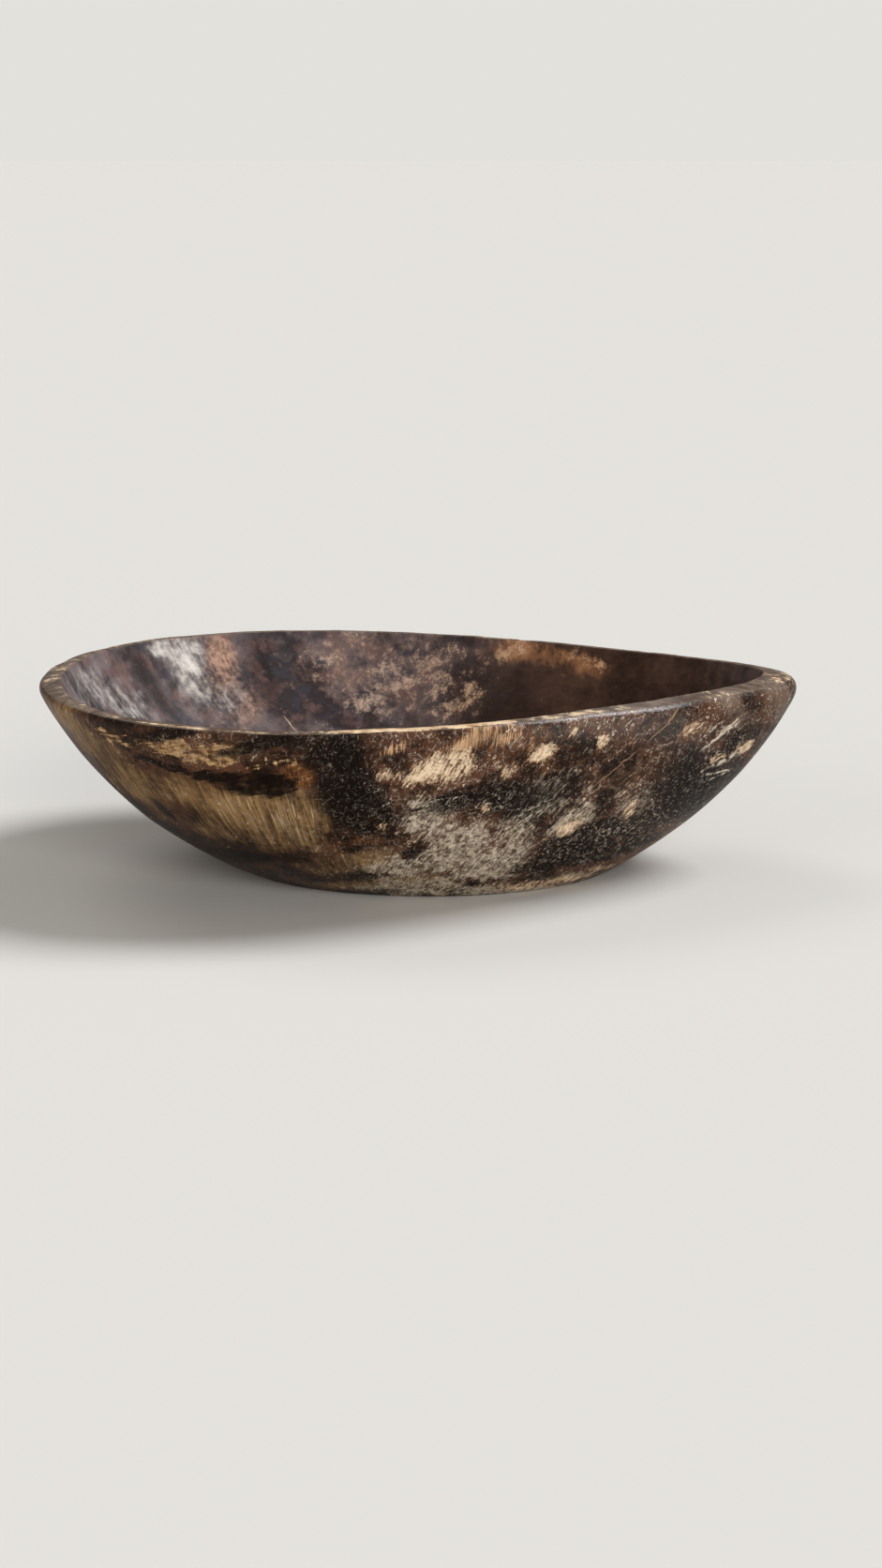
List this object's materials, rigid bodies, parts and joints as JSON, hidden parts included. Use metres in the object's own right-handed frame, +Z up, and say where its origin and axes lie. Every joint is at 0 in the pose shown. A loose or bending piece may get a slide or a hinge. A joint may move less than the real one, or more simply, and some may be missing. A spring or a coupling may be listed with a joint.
{
  "type": "carved wooden bowl",
  "caption": "Egg-shaped bowl hewn from solid dark wood, with flaring walls, a flat lip that is thicker at the ends and a flat foot; holds food or small things.",
  "frame": {"origin": "on the table, under the middle of the rim", "axes": "+X towards the narrow end, +Y towards the side furthest from the viewer in the picture, +Z up out of the hollow"},
  "size_m": [0.3966, 0.32, 0.1027],
  "materials": {
    "aged_wood": "dark old hardwood, worn and rubbed, dull with a faint sheen, tan where the dark surface has worn off"
  },
  "bodies": {
    "root": {"bowl_body": "aged_wood"}
  },
  "joints": []
}
